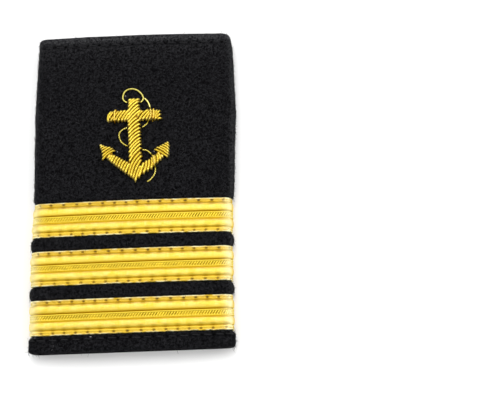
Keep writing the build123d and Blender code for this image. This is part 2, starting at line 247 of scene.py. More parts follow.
class Shape:
    """Points, faces and values per point, gathered from several bodies."""

    def __init__(self):
        self.points, self.faces, self.values, self.count = [], [], [], 0

    def add(self, points, faces, **values):
        """A value is one number, or one for each point with 0 for any points past its end."""
        points = np.asarray(points, float).reshape(-1, 3)
        for group in faces:
            self.faces += (np.asarray(group) + self.count).tolist()
        self.points.append(points)
        full = {}
        for key, value in values.items():
            value = np.ravel(value) if np.ndim(value) else np.full(len(points), value)
            full[key] = np.concatenate([value, np.zeros(len(points) - len(value))])
        self.values.append(full)
        self.count += len(points)


def piece(name, shape, material, nodes=()):
    """A mesh piece on the board, in place of any CAD nodes given."""
    mesh = bpy.data.meshes.new(name)
    mesh.from_pydata((np.vstack(shape.points) * MM).tolist(), [], shape.faces)
    mesh.validate()
    for key in shape.values[0]:
        layer = mesh.attributes.new(key, "FLOAT", "POINT")
        layer.data.foreach_set("value", np.concatenate([v[key] for v in shape.values]).astype(np.float32))
    mesh.polygons.foreach_set("use_smooth", [True] * len(mesh.polygons))
    mesh.materials.append(material)
    made = bpy.data.objects.new(name, mesh)
    bpy.context.scene.collection.objects.link(made)
    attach(made, "root")
    if nodes:
        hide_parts(*nodes)


def unit(vectors):
    return vectors / np.maximum(np.linalg.norm(vectors, axis=-1, keepdims=True), 1e-9)


def distances(path):
    """How far along a path each of its points lies."""
    steps = np.linalg.norm(np.diff(path, axis=0), axis=1)
    return np.concatenate([[0.0], np.cumsum(steps)])


def smooth_path(points, step):
    """Points at even steps on a smooth curve through the given ones."""
    points = np.asarray(points, float)
    padded = np.vstack([2 * points[0] - points[1], points, 2 * points[-1] - points[-2]])
    fine = []
    for before, a, b, after in zip(padded, padded[1:], padded[2:], padded[3:]):
        for t in np.arange(0, 1, 0.1):
            fine.append(0.5 * (2 * a + (b - before) * t + (2 * before - 5 * a + 4 * b - after) * t ** 2
                               + (3 * a - before - 3 * b + after) * t ** 3))
    fine = np.vstack([fine, points[-1:]])
    run = distances(fine)
    wanted = np.linspace(0, run[-1], max(int(run[-1] / step), 2) + 1)
    return np.stack([np.interp(wanted, run, fine[:, n]) for n in range(points.shape[1])], axis=1)


def tube(path, radius, sides, side_way=(0, 0, 1)):
    """Closed tube round a path. radius is one number, one for each point, or one for each point and side."""
    path = np.asarray(path, float)
    way = unit(np.gradient(path, axis=0))
    side = unit(np.cross(way, side_way))
    lift = np.cross(side, way)
    angles = np.arange(sides) * 2 * math.pi / sides
    radius = np.broadcast_to(np.asarray(radius, float).reshape(-1, 1) if np.ndim(radius) < 2 else radius,
                             (len(path), sides))[..., None]
    rings = path[:, None] + radius * (np.cos(angles)[None, :, None] * side[:, None]
                                      + np.sin(angles)[None, :, None] * lift[:, None])
    points = np.vstack([rings.reshape(-1, 3), path[:1], path[-1:]])
    first, last = len(path) * sides, len(path) * sides + 1
    around = np.arange(sides)
    after = np.roll(around, -1)
    top = (len(path) - 1) * sides
    caps = np.vstack([np.stack([np.full(sides, first), around, after], 1),
                      np.stack([np.full(sides, last), after + top, around + top], 1)])
    body = grid_faces(len(path), sides, close_columns=True)[:, ::-1]
    run = np.repeat(distances(path), sides)
    return points, [body, caps], np.concatenate([run, [0.0, run[-1]]])


def add_thread(shape, path, radius, side_way=(0, 0, 1)):
    points, faces, along = tube(path, radius, 6, side_way)
    shape.add(points, faces, along=along)


# Materials
ply_pitch, thread_pitch, weft_pitch = 0.40, 0.26, 0.33     # of the twisted thread and the lace's weave


def material(name, **sockets):
    """A material with a principled shader, its constant values set on the shader's own sockets."""
    made = bpy.data.materials.new(name)
    made.use_nodes = True
    shader = made.node_tree.nodes["Principled BSDF"]
    for socket, value in sockets.items():
        shader.inputs[socket.replace("_", " ")].default_value = value
    return made, shader


def node(made, kind, settings=None, **inputs):
    """A node with its settings and inputs. An input given as another node's output is linked."""
    tree = made.node_tree
    new = tree.nodes.new("ShaderNode" + kind)
    for key, value in (settings or {}).items():
        setattr(new, key, value)
    for key, value in inputs.items():
        socket = new.inputs[int(key[1:])] if key[0] == "i" and key[1:].isdigit() else new.inputs[key]
        if isinstance(value, bpy.types.NodeSocket):
            tree.links.new(value, socket)
        else:
            socket.default_value = value
    return new


def place(made):
    return node(made, "TexCoord").outputs["Object"]


def noise(made, size, detail=3.0, roughness=0.6, distortion=0.0):
    """Noise with features of a size in millimetres."""
    return node(made, "TexNoise", Vector=place(made), Scale=1.0 / (size * MM), Detail=detail,
                Roughness=roughness, Distortion=distortion).outputs["Fac"]


def value_of(made, name):
    """A value that the mesh carries at each point."""
    return node(made, "Attribute", {"attribute_type": "GEOMETRY", "attribute_name": name}).outputs["Fac"]


def maths(made, operation, first, second=0.0):
    return node(made, "Math", {"operation": operation}, i0=first, i1=second).outputs[0]


def plus(made, first, second, weight):
    """The first value and a share of the second."""
    return maths(made, "ADD", first, maths(made, "MULTIPLY", second, weight))


def waves(made, value, pitch, shift=0.0):
    """Even waves along a value, one to each pitch of it."""
    return maths(made, "SINE", plus(made, shift, value, 2 * math.pi / pitch))


def mix(made, share, low, high):
    """A colour between two, each either red, green and blue or another node's output."""
    low, high = (c if isinstance(c, bpy.types.NodeSocket) else (*c, 1.0) for c in (low, high))
    return node(made, "Mix", {"data_type": "RGBA"}, i0=share, i6=low, i7=high).outputs[2]


def ramp(made, share, low, high):
    """The share stretched so that low becomes 0 and high becomes 1."""
    return node(made, "MapRange", i0=share, i1=low, i2=high).outputs[0]


def bump(made, height, depth, strength, below=None):
    """Bump of a depth in millimetres, on top of another bump if one is given."""
    new = node(made, "Bump", Height=height, Distance=depth * MM, Strength=strength)
    if below is not None:
        made.node_tree.links.new(below, new.inputs["Normal"])
    return new.outputs["Normal"]


def finish_look(made, shader, colour, normal=None, roughness=None):
    for socket, value in (("Base Color", colour), ("Normal", normal), ("Roughness", roughness)):
        if value is not None:
            made.node_tree.links.new(value, shader.inputs[socket])
    return made


def felt_look():
    """Black felted wool: matt and mottled, lighter along the rims by a painted sheen where its nap would
    catch the light, and darker in the hem creases by painted shade.
    """
    made, shader = material("felt", Sheen_Weight=0.012, Sheen_Roughness=0.40,
                            Sheen_Tint=(0.70, 0.72, 0.80, 1.0), Specular_IOR_Level=0.01)
    mottle = ramp(made, noise(made, 0.60, 4.0, 0.75, 0.8), 0.43, 0.60)
    clumps = ramp(made, noise(made, 1.5, 3.0, 0.7, 0.6), 0.38, 0.62)
    patches = ramp(made, noise(made, 11.0, 2.0), 0.3, 0.7)
    fine = mix(made, mottle, (0.0001, 0.0001, 0.0003), (0.0215, 0.0215, 0.0240))
    flat = mix(made, clumps, (0.0006, 0.0008, 0.0010), (0.0065, 0.0062, 0.0066))
    mixed = mix(made, 0.20, fine, flat)
    colour = mix(made, maths(made, "MULTIPLY", patches, 0.20), mixed, (0.0060, 0.0060, 0.0068))
    painted_sheen = mix(made, mottle, (0.012, 0.012, 0.014), (0.100, 0.100, 0.104))
    # painted sheen: a lighter nap along the rims, where it would catch the light
    colour = mix(made, value_of(made, "rim"), colour, painted_sheen)
    # painted shade: near black along the hem lines and in their stitch holes
    colour = mix(made, value_of(made, "crease"), colour, (0.0003, 0.0003, 0.0004))
    fibres = noise(made, 0.28, 5.0, 0.75, 1.5)
    lumps = noise(made, 0.9, 3.0, 0.6, 0.5)
    normal = bump(made, fibres, 0.28, 1.0, bump(made, lumps, 0.5, 0.9))
    return finish_look(made, shader, colour, normal, ramp(made, fibres, -1.0, 1.4))


def fibre_look(name, low, high):
    """Single wool fibres, each with its own shade."""
    made, shader = material(name, Specular_IOR_Level=0.05, Roughness=0.8)
    share = plus(made, value_of(made, "tint"), noise(made, 0.5), 0.2)
    return finish_look(made, shader, mix(made, ramp(made, share, 0.0, 1.2), low, high))


def thread_look(name, low, high):
    """Twisted sewing thread."""
    made, shader = material(name, Specular_IOR_Level=0.15, Roughness=0.6)
    ply = waves(made, value_of(made, "along"), ply_pitch)
    colour = mix(made, ramp(made, noise(made, 0.7), 0.3, 0.7), low, high)
    return finish_look(made, shader, colour, bump(made, ply, 0.05, 0.8))


def lace_look():
    """Woven gold lace: flat metal thread over the padded bands, finer thread in the ribs, pale at its edges
    and sides by painted highlight and reflection, amber in the grooves and brown in the needle holes by
    painted shade."""
    made, shader = material("gold_lace", Metallic=1.0, Specular_Tint=(1.0, 0.88, 0.30, 1.0))
    along, across, tone, satin = (value_of(made, name) for name in ("along", "across", "tone", "satin"))
    threads = waves(made, along, thread_pitch, maths(made, "MULTIPLY", noise(made, 1.6), 1.2))
    wefts = waves(made, across, weft_pitch)
    grain = noise(made, 0.22, 3.0, 0.7)
    streaks = node(made, "TexNoise", {"noise_dimensions": "1D"}, W=along, Scale=1.7, Detail=3.0)
    blotches = noise(made, 2.2, 4.0, 0.65, 0.5)
    patches = ramp(made, plus(made, blotches, streaks.outputs["Fac"], 0.2), 0.44, 0.80)
    ribs = mix(made, ramp(made, grain, 0.3, 0.7), (0.75, 0.555, 0.036), (0.88, 0.71, 0.090))
    band = mix(made, patches, (0.69, 0.475, 0.048), (0.79, 0.560, 0.155))
    gold = mix(made, satin, ribs, band)
    # painted shade: amber, then dark brown where the tone value is high
    amber = mix(made, ramp(made, tone, 0.0, 0.40), gold, (0.56, 0.355, 0.002))
    colour = mix(made, ramp(made, tone, 0.40, 1.0), amber, (0.10, 0.060, 0.003))
    # painted highlight along the edges and painted reflection where the lace turns down the sides
    colour = mix(made, value_of(made, "pale"), colour, (1.0, 0.98, 0.66))
    normal = bump(made, threads, 0.03, 0.55, bump(made, wefts, 0.02, 0.3, bump(made, grain, 0.05, 0.5)))
    roughness = ramp(made, plus(made, grain, tone, 0.8), -1.1, 2.4)
    return finish_look(made, shader, colour, normal, roughness)


def bullion_look(name, low, high, dark, pale, coil, roughness):
    """Coiled gold wire: fine turns round each strand, a slightly different gold from strand to strand, amber
    on its sides below the crest by painted shade, and paler at the tips."""
    made, shader = material(name, Metallic=1.0, Roughness=roughness, Specular_Tint=(1.0, 0.80, 0.15, 1.0))
    turns = waves(made, value_of(made, "along"), coil)
    gold = mix(made, value_of(made, "tint"), low, high)
    spots = ramp(made, noise(made, 0.8, 4.0, 0.7), 0.52, 0.75)
    worn = mix(made, maths(made, "MULTIPLY", spots, 0.3), gold, dark)
    # painted shade: dark gold on each strand's sides, below its crest
    side_shade = mix(made, ramp(made, value_of(made, "crest"), 0.25, 0.95), dark, worn)
    colour = mix(made, maths(made, "MULTIPLY", value_of(made, "tip"), 0.7), side_shade, pale)
    normal = bump(made, turns, 0.03, 0.5, bump(made, noise(made, 0.3), 0.03, 0.4))
    return finish_look(made, shader, colour, normal)


def padding_look():
    """Yellow felt padding under the bullion, coloured dark amber as painted shade where it shows between the
    strands.
    """
    made, shader = material("padding_felt", Roughness=0.8, Specular_IOR_Level=0.1)
    colour = mix(made, noise(made, 0.4), (0.34, 0.19, 0.004), (0.52, 0.32, 0.01))
    return finish_look(made, shader, colour, bump(made, noise(made, 0.25), 0.05, 0.8))


felt = felt_look()
felt_fibre = fibre_look("felt_fibre", (0.0008, 0.0008, 0.0012), (0.064, 0.064, 0.070))
lint_fibre = fibre_look("lint_fibre", (0.10, 0.10, 0.105), (0.55, 0.52, 0.54))
felt_thread = thread_look("felt_thread", (0.006, 0.006, 0.007), (0.017, 0.017, 0.019))
lace_thread = thread_look("lace_thread", (0.50, 0.30, 0.02), (0.78, 0.54, 0.07))
gold_lace = lace_look()
bullion_gold = bullion_look("bullion", (0.62, 0.445, 0.036), (0.93, 0.74, 0.100), (0.55, 0.345, 0.003),
                            (1.0, 0.90, 0.36), coil=0.17, roughness=0.30)
wire_gold = bullion_look("gold_wire", (0.46, 0.40, 0.070), (0.95, 0.87, 0.30), (0.48, 0.38, 0.03),
                         (0.88, 0.60, 0.12), coil=0.30, roughness=0.34)
band_gold = bullion_look("band_wire", (0.80, 0.54, 0.06), (0.95, 0.72, 0.14), (0.55, 0.30, 0.01),
                         (1.0, 0.85, 0.30), coil=0.22, roughness=0.36)
padding_felt = padding_look()


# Felt sleeve


hem_lines = (-half_length + stitch_insets[0], half_length - stitch_insets[1])
hem_turns = np.linspace(1.06, 3.94, 900)     # the part of the board's round that has hem stitches
first_stitch = 1.0                # how far along it the first one starts
hole_reach = (0.40, 0.36)         # of a hem stitch's hole, along the line and across it
hem_roll, behind_roll = 0.16, 0.10     # how far a hem stands out before its stitches and behind them
stitch_dent, hole_dent = 0.26, 0.30    # how deep a line of hem stitches and its holes are
turn_counts = (60, 26, 112, 26)   # columns of the mesh over the back, right side, front and left side
tuft_places = ((-4.10, 10.19), (6.45, 9.94), (-1.53, 26.77), (-11.8, -41.9))
pale_hairs = ((-22.7, -45.2, 0.9), (-22.4, -44.9, 1.2), (-27.5, -41.8, 1.2))     # x, y and angle
any_angle = (0, 6.28)

# Relief of bare felt: height, size and seed of its waves and lumps
felt_lumps = ((0.13, 13.0, 1), (0.06, 5.0, 2), (0.035, 1.5, 3), (0.025, 0.8, 4))


def hem_run(line):
    """Distance along a line of hem stitches, up the right side, over the front and down the left side."""
    return distances(board_point(hem_turns, line, 0.0))


def hem_holes(turn, y):
    """1 where the hem stitches dive into the felt and 0 elsewhere."""
    pitch = stitch_length + stitch_gap
    share = np.zeros(np.broadcast_shapes(np.shape(turn), np.shape(y)))
    for line in hem_lines:
        run = np.interp(turn, hem_turns, hem_run(line))
        off_hole = np.mod(run - first_stitch + stitch_gap / 2 + pitch / 2, pitch) - pitch / 2
        share = np.maximum(share, bell(off_hole, hole_reach[0]) * bell(y - line, hole_reach[1]))
    return share * ((turn > hem_turns[0]) & (turn < hem_turns[-1]))


def hem_relief(turn, y):
    """Relief of the hems: a rolled edge, and a dented line where the stitches pull the felt down."""
    inset = end_distance(y)
    line = np.where(y < 0, stitch_insets[0], stitch_insets[1])
    rolls = hem_roll * bell(inset - 0.5 * line, 0.8) + behind_roll * bell(inset - line - 1.4, 0.8)
    return rolls - stitch_dent * bell(inset - line, 0.5) - hole_dent * hem_holes(turn, y)


def edge_share(x, y):
    """1 along both side edges of the felt and 0 further in than 2 mm."""
    left, right, _, _ = outline(y, 0.0)
    return smooth_step(1.0 - (np.minimum(x - left, right - x) - 0.2) / 1.8)


def felt_relief(points, turn):
    """How far the felt stands out of its plain shape: hems, soft waves and the lumps of its fibres."""
    x, y = points[..., 0], points[..., 1]
    at_side = edge_share(x, y)
    lumps = sum(height * cloudy(points, size, seed) for height, size, seed in felt_lumps)
    ragged = 0.07 * cloudy(points, 1.2, 5) * np.maximum(at_side, end_distance(y) < 1.0)
    return (1.0 - lace_press(y)) * (lumps + ragged) + hem_relief(turn, y) * (1.0 - at_side)


def rim_share(points):
    """How much painted sheen the nap gets where it would catch the light: most on the rim at the neck end,
    some along the side edges.
    """
    x, y = points[..., 0], points[..., 1]
    on_rim = 1.0 - end_distance(y) / (stitch_insets[1] - 0.3)
    below = 0.15 * np.exp(-np.maximum(end_distance(y) - stitch_insets[1], 0.0) / 3.0)
    neck = (y > 0) * np.where(on_rim > 0, 0.22 + 0.50 * on_rim, below)
    on_front = smooth_step((points[..., 2] - front_height(x, y) + 2.2) / 1.2)
    return on_front * np.clip(neck + 0.40 * edge_share(x, y) * (y > -half_length + 4.0), 0.0, 1.0)


def felt_stations():
    """Places along the board for the rings of the felt's mesh, close together where its relief is sharp."""
    even = np.arange(-half_length + 1.0, half_length - 0.99, 0.5)
    lip = lip_radius * (1.0 - np.cos(np.radians([0, 25, 50, 70, 90])))
    ends = half_length - np.append(lip, 0.75)
    steps = fit_gap + press_run * np.linspace(0, 1, 6)
    beside = [np.concatenate([start - steps, start + lace_width + steps]) for start in lace_starts]
    lines = [line + np.array([-0.25, 0.0, 0.25]) for line in hem_lines]
    return np.unique(np.round(np.concatenate([even, -ends, ends, *beside, *lines]), 4))


def inner_stations(stations):
    """The same for the inner face, far apart between the two hems and counted back from the neck end."""
    middle = half_length - hem_depth - 2.0
    near_ends = stations[np.abs(stations) > middle]
    between = np.arange(middle, -half_length + hem_depth, -2.5)
    return np.unique(np.round(np.concatenate([near_ends, between]), 4))[::-1]


def felt_sleeve():
    """The sleeve: one closed wall with folded hems at both ends."""
    turns = np.concatenate([np.linspace(part, part + 1, count, endpoint=False)
                            for part, count in enumerate(turn_counts)])
    stations = felt_stations()
    plain = board_point(turns[None], stations[:, None], 0.0)
    inset = round_off(end_distance(stations), lip_radius)[:, None]
    outer = board_point(turns[None], stations[:, None], felt_relief(plain, turns[None]) - inset)
    outer[..., 2] = np.maximum(outer[..., 2], 0.0)
    inner_rows = inner_stations(stations)
    fold = smooth_step(1.0 - (end_distance(inner_rows) - hem_depth) / hem_slope)
    wall = part_way(felt_thickness, hem_thickness, fold)
    depth = round_off(end_distance(inner_rows), lip_radius) - wall
    inner = board_point(turns[None], inner_rows[:, None], depth[:, None])
    # painted shade along the hem stitch lines and in their holes
    off_line = np.abs(stations[:, None, None] - np.array(hem_lines)).min(axis=-1)
    crease = np.maximum(0.35 * bell(off_line, 0.4), hem_holes(turns[None], stations[:, None]))
    rows = len(stations) + len(inner_rows)
    shape = Shape()
    shape.add(np.vstack([outer, inner]),
              [grid_faces(rows, len(turns), close_rows=True, close_columns=True)[:, ::-1]],
              rim=rim_share(outer), crease=crease)
    piece("felt_sleeve", shape, felt, ["cloth_sleeve"])


def outward(turn, y):
    """Direction out of the board's surface."""
    step = 0.004
    along = board_point(turn + step, y, 0.0) - board_point(turn - step, y, 0.0)
    return unit(np.cross(np.array([0.0, 1.0, 0.0]), along))


def hair(shape, root, flat, bend, out, length, stand, radius, tint):
    """One fibre that rises from the felt and bends over."""
    middle = root + length * (0.5 * flat + stand * 0.5 * out)
    tip = root + length * (flat + stand * 0.75 * out + 0.35 * bend)
    path = np.array([root, middle, tip])
    path[:, 2] = np.maximum(path[:, 2], 0.03)
    points, faces, _ = tube(path, [radius, radius * 0.85, radius * 0.3], 3, (0.3, 0.5, 0.8))
    shape.add(points, faces, tint=tint)


def fuzz(name, count, lengths, stands, radii):
    """Short wool fibres that lie on and stand off the felt. The ranges are lowest and highest values."""
    on_back = count // 8
    turn = np.concatenate([chance.uniform(1, 4, count - on_back), chance.uniform(0, 1, on_back)])
    y = chance.uniform(-half_length + 0.3, half_length - 0.3, len(turn))
    keep = (lace_press(y) < 0.4) & (hem_holes(turn, y) < 0.3)
    turn, y = turn[keep], y[keep]
    plain = board_point(turn, y, 0.0)
    sunk = round_off(end_distance(y), lip_radius) + 0.03
    root = board_point(turn, y, felt_relief(plain, turn) - sunk)
    out = outward(turn, y)
    flat = unit(np.cross(out, chance.normal(size=out.shape)))
    bend = unit(np.cross(out, chance.normal(size=out.shape)))
    # a random tint for each fibre, plus a painted sheen along the rims
    tint = 0.7 * chance.uniform(0, 1, len(turn)) ** 2.5 + 0.5 * rim_share(plain)
    shape = Shape()
    for n in range(len(turn)):
        hair(shape, root[n], flat[n], bend[n], out[n], chance.uniform(*lengths), chance.uniform(*stands),
             chance.uniform(*radii), tint[n])
    piece(name, shape, felt_fibre)


def lint():
    """Pale hairs caught in the felt: tufts beside the anchor and at the bottom lace, and single hairs."""
    shape = Shape()
    hairs = []
    for x, y in tuft_places:
        hairs += [(x, y, 0.35, 0.030, 0.7, chance.uniform(*any_angle)) for _ in range(8)]
    for x, y, angle in pale_hairs:
        hairs.append((x, y, 1.2, 0.035, 0.45, angle))
    for x, y in chance.uniform((-24, 3), (24, 41), (14, 2)):
        hairs.append((x, y, chance.uniform(0.8, 2.0), 0.014, 0.0, chance.uniform(*any_angle)))
    out = np.array([0.0, 0.0, 1.0])
    for x, y, length, radius, tint, angle in hairs:
        flat = np.array([math.cos(angle), math.sin(angle), 0.0])
        bend = np.array([-flat[1], flat[0], 0.0]) * chance.uniform(-1.0, 1.0)
        root = np.array([x, y, front_height(x, y) + 0.08])
        hair(shape, root, flat, bend, out, length, chance.uniform(0.05, 0.3), radius, tint)
    piece("felt_lint", shape, lint_fibre)


def hem_stitches():
    """Stitches along both hems, each a short thread that dives into the felt at its ends."""
    shape = Shape()
    share = np.linspace(0, 1, 11)
    grow = -0.75 + 0.72 * np.sin(share * math.pi) ** 0.45
    for line in hem_lines:
        run = hem_run(line)
        for start in np.arange(first_stitch, run[-1] - stitch_length, stitch_length + stitch_gap):
            start, length = start + chance.uniform(-0.08, 0.08), stitch_length + chance.uniform(-0.15, 0.15)
            wander = chance.uniform(-0.08, 0.08)
            turn = np.interp(start + share * length, run, hem_turns)
            path = board_point(turn, line + wander + 0.12 * (share - 0.5), grow)
            add_thread(shape, path, hem_thread_radius, (0, 1, 0))
    piece("felt_hem_stitches", shape, felt_thread)


# Lace. across is the distance from the lace's lower edge, along the distance from its left end.
centre = lace_width / 2
seams = (1.60, lace_width - 1.25)       # dark lines between the edge bands and the satin bands
grooves = (4.02, lace_width - 3.85)     # dark lines between the satin bands and the ribbed zone
zone_middle = sum(grooves) / 2
edge_trim = 0.13                        # how far the lower edge is drawn in
stitch_lines = (0.74, lace_width - 0.74)
stitch_pitch = 3.45
lace_thread_radius = 0.09
dash_pitch = 0.76
dash_height = 0.50                      # half the height of a dash
dash_lean = 0.72
dash_depth, dash_shade = 0.22, 0.74
end_radius = 0.35                       # of the lace's turned ends
edge_tones = (0.28, 0.24)               # how dark the lower and the upper edge band are
rim_band, rim_tone = 0.9, 0.16          # the upper one's outer part, and how much darker that is
tone_run = 0.3                          # the length over which those tones begin

# Dark lines: where they lie, how deep and how wide their relief is, and how dark and how wide their painted
# shade is
Line = namedtuple("Line", "place depth width tone tone_width")
dark_lines = [Line(seams[0], 0.28, 0.12, 0.30, 0.14), Line(seams[1], 0.28, 0.12, 0.30, 0.14),
              Line(grooves[0], 0.34, 0.12, 0.30, 0.15), Line(grooves[1], 0.42, 0.14, 0.72, 0.13)]


def half_rows(seam, groove):
    """Distances from an edge for the rows of the mesh, close together where the relief is sharp."""
    at_edge = [0.0, 0.05, 0.15]
    edge_band = np.linspace(0.3, seam - 0.14, 7)
    at_seam = seam + np.array([-0.05, 0.03, 0.13])
    satin_band = np.linspace(seam + 0.3, groove - 0.38, 7)
    at_groove = groove + np.array([-0.24, -0.14, -0.05, 0.05])
    return np.concatenate([at_edge, edge_band, at_seam, satin_band, at_groove])


def lace_rows():
    """Distances from the lower edge for the rows of the mesh."""
    low = half_rows(seams[0], grooves[0])
    high = lace_width - half_rows(lace_width - seams[1], lace_width - grooves[1])[::-1]
    return np.concatenate([low, np.arange(grooves[0] + 0.14, grooves[1] - 0.10, 0.09), high])


def satin_share(across):
    """0 at the lower side of each satin band and 1 at its upper side, beyond both outside the bands."""
    low_band = (across - seams[0]) / (grooves[0] - seams[0])
    high_band = (across - grooves[1]) / (seams[1] - grooves[1])
    return np.where(across < zone_middle, low_band, high_band)


def lace_height(across):
    """Plain relief of the lace in shares of its thickness."""
    share = satin_share(across)
    from_edge = np.minimum(across, lace_width - across)
    off_middle = np.abs(across - zone_middle)
    satin = 0.66 + 0.34 * np.sin(math.pi * np.clip(share, 0.0, 1.0)) ** 0.8
    edge = 0.30 + 0.34 * (1.0 - np.exp(-from_edge / 0.08))
    ribs = 0.72 + 0.16 * bell(off_middle - 0.74, 0.2) + 0.05 * bell(off_middle, 0.15)
    in_band = (share > 0.0) & (share < 1.0)
    height = np.where(in_band, satin, np.where((across > grooves[0]) & (across < grooves[1]), ribs, edge))
    for line in dark_lines:
        height = height - line.depth * bell(across - line.place, line.width)
    return height


def lace_columns(start):
    """Turns round the board at even steps from the lace's left end on the back to its right one."""
    y = start + centre
    left, right, low, high = outline(np.array(y), 0.0)
    span = (right - left) - (high - low)
    back_share = (lace_return - (high - low) / 2) / span
    turns = np.linspace(4.0 + back_share, 1.0 - back_share, 6000)
    run = distances(board_point(turns, y, fit_gap + lace_thickness))
    wanted = np.linspace(0, run[-1], int(run[-1] / (dash_pitch / 8)))
    return np.interp(wanted, run, turns), wanted


def hole_distance(along, phase):
    """Distance to the nearest needle hole along a line of stitches, whose pitch varies a little."""
    run = along - phase + 0.5 * np.sin(along / 5.3 + 3.0 * phase)
    return np.abs(np.mod(run + stitch_pitch / 2, stitch_pitch) - stitch_pitch / 2)


def dash_gaps(along, across):
    """1 in the gaps between the raised threads of the ribbed zone, a row of slanted dashes, which are
    darkened by painted shade.
    """
    off_row = across - zone_middle
    wave = np.cos(2 * math.pi * (along - dash_lean * off_row) / dash_pitch)
    return np.exp(-(off_row / dash_height) ** 6) * smooth_step(2.0 * wave + 0.05)


def stitch_marks(along, across, flat, phases):
    """How deep the stitches pull the lace down, and the painted shade in those dents: at the needle holes,
    along the line of thread, in dimples beside the satin bands and where they pull at the seams."""
    depth, tone, pull = np.zeros_like(along), np.zeros_like(along), np.zeros_like(along)
    hole_shade = 0.50 + 0.30 * cloudy(flat, 5.0, 15)
    for line, seam, phase in zip(stitch_lines, seams, phases):
        gap = hole_distance(along, phase)
        off_line = across - line
        off_dimple = (across - seam) * np.sign(seam - line) - 0.15
        hole = bell(gap, 0.34) * bell(off_line, 0.24)
        dimple = bell(gap, 0.70) * bell(off_dimple, 0.34)
        pucker = bell(gap, 0.9) * bell(off_line, 0.9)
        depth += 0.40 * hole + 0.08 * bell(off_line, 0.13) + 0.15 * dimple + 0.05 * pucker
        tone += hole_shade * hole + 0.20 * bell(off_line, 0.12) + 0.12 * dimple
        pull = np.maximum(pull, bell(gap, 0.85) * bell(across - seam, 0.5))
    for seam in seams:
        tone += 0.25 * pull * bell(across - seam, 0.14)
    return depth, tone


def plain_tone(across):
    """How dark the lace is apart from its dashes and stitches: painted shade in the seams and grooves and
    towards the satin bands' lower sides, which face away from the light, and darker edge bands."""
    share = satin_share(across)
    tone = sum(line.tone * bell(across - line.place, line.tone_width) for line in dark_lines)
    tone = tone + 0.08 * (share > 0.0) * (share < 1.0) * (1.0 - smooth_step(share / 0.45))
    tone += edge_tones[0] * smooth_step((seams[0] - across) / tone_run)
    tone += edge_tones[1] * smooth_step((across - seams[1]) / tone_run)
    return tone + rim_tone * smooth_step((across - lace_width + rim_band) / tone_run)


def lace_stripe(name, start, seed):
    """One lace: its woven relief, the marks of its stitches and its plain inner face, as one closed mesh."""
    turns, run = lace_columns(start)
    across, along = np.meshgrid(lace_rows(), run, indexing="ij")
    flat = np.stack([along, across, np.full_like(along, 10.0 * seed)], axis=-1)
    from_edge = np.minimum(across, lace_width - across)
    from_end = np.minimum(along, run[-1] - along)
    lower = across < centre
    phases = (0.6 + seed, 2.1 + 0.7 * seed)

    gaps = dash_gaps(along, across) * np.clip(0.95 + 0.45 * cloudy(flat, 0.9, 8), 0.4, 1.1)
    depth, tone = stitch_marks(along, across, flat, phases)
    tone += dash_shade * gaps + plain_tone(across)
    share = satin_share(across)
    satin = smooth_step(share / 0.50) * smooth_step((1.0 - share) / 0.12)

    # the relief, which rounds off at both ends because they are turned under
    height = lace_height(across) * lace_thickness - depth - dash_depth * gaps
    height += 0.035 * cloudy(flat, 4.5, 5) + 0.020 * cloudy(flat, 1.3, 6)
    height = np.maximum(np.maximum(height, 0.10) - round_off(from_end, end_radius), 0.06)

    # the edges wander, and the lower one is drawn in
    wander = np.abs((0.05 + 0.15 * lower) * cloudy(flat, 0.9, 13) + 0.08 * cloudy(flat, 3.0, 7))
    y = start + across + (wander + edge_trim * lower) * np.exp(-from_edge / 0.4) * np.sign(centre - across)
    outer = board_point(turns[None], y, fit_gap + height)
    inner_rows = np.linspace(lace_width - 0.02, edge_trim + 0.02, 4)
    inner = board_point(turns[None], start + inner_rows[:, None], fit_gap)

    # painted highlight along the edges, and a pale painted reflection where the lace turns down the board's
    # sides
    left, right, low, high = outline(y, fit_gap + height)
    turned = bell(outer[..., 0] - left, 2.0) + bell(right - outer[..., 0], 2.0)
    turned *= smooth_step(((outer[..., 2] - low) / (high - low) - 0.62) / 0.3)
    edge_highlight = bell(from_edge - 0.1, 0.22) * np.clip(0.50 + 0.9 * cloudy(flat, 1.1, 12), 0, 1)
    edge_bands = 0.045 * ((across < seams[0]) | (across > seams[1]))
    pale = np.clip(edge_highlight + edge_bands + 0.7 * turned, 0, 1)

    columns, rows = len(turns), len(outer) + len(inner)
    first = (np.arange(rows) * columns)[None]
    last = (np.arange(rows) * columns + columns - 1)[None, ::-1]
    inner_along, inner_across = np.meshgrid(run, inner_rows)
    shape = Shape()
    shape.add(np.vstack([outer, inner]), [grid_faces(rows, columns, close_rows=True), first, last],
              along=np.vstack([along, inner_along]), across=np.vstack([across, inner_across]),
              tone=np.clip(tone, 0, 1), satin=satin, pale=pale)
    piece("gold_lace_" + name, shape, gold_lace, ["lace_stripe_" + name])
    lace_stitches(name, start, turns, run, phases)


def lace_stitches(name, start, turns, run, phases):
    """The sewing threads: along both edges, dipping at each needle hole, and across both ends."""
    shape = Shape()
    along = np.arange(0.6, run[-1] - 0.6, 0.16)
    for line, phase in zip(stitch_lines, phases):
        gap = hole_distance(along, phase)
        lie = 0.44 - 0.04 * np.cos(math.pi * gap / stitch_pitch)
        wander = 0.05 * np.sin(2 * math.pi * (along - phase) / stitch_pitch)
        path = board_point(np.interp(along, run, turns), start + line + wander,
                           fit_gap + lie - 0.55 * bell(gap, 0.42))
        add_thread(shape, path, lace_thread_radius, (0, 1, 0))
    across = np.arange(0.4, lace_width - 0.35, 0.1)
    dive = 0.30 * (np.cos(2 * math.pi * across / 1.6) < -0.6)
    grow = fit_gap + 0.70 * lace_thickness - dive
    for end in (0.7, run[-1] - 0.7):
        add_thread(shape, board_point(np.interp(end, run, turns), start + across, grow), lace_thread_radius)
    piece("gold_lace_stitches_" + name, shape, lace_thread)


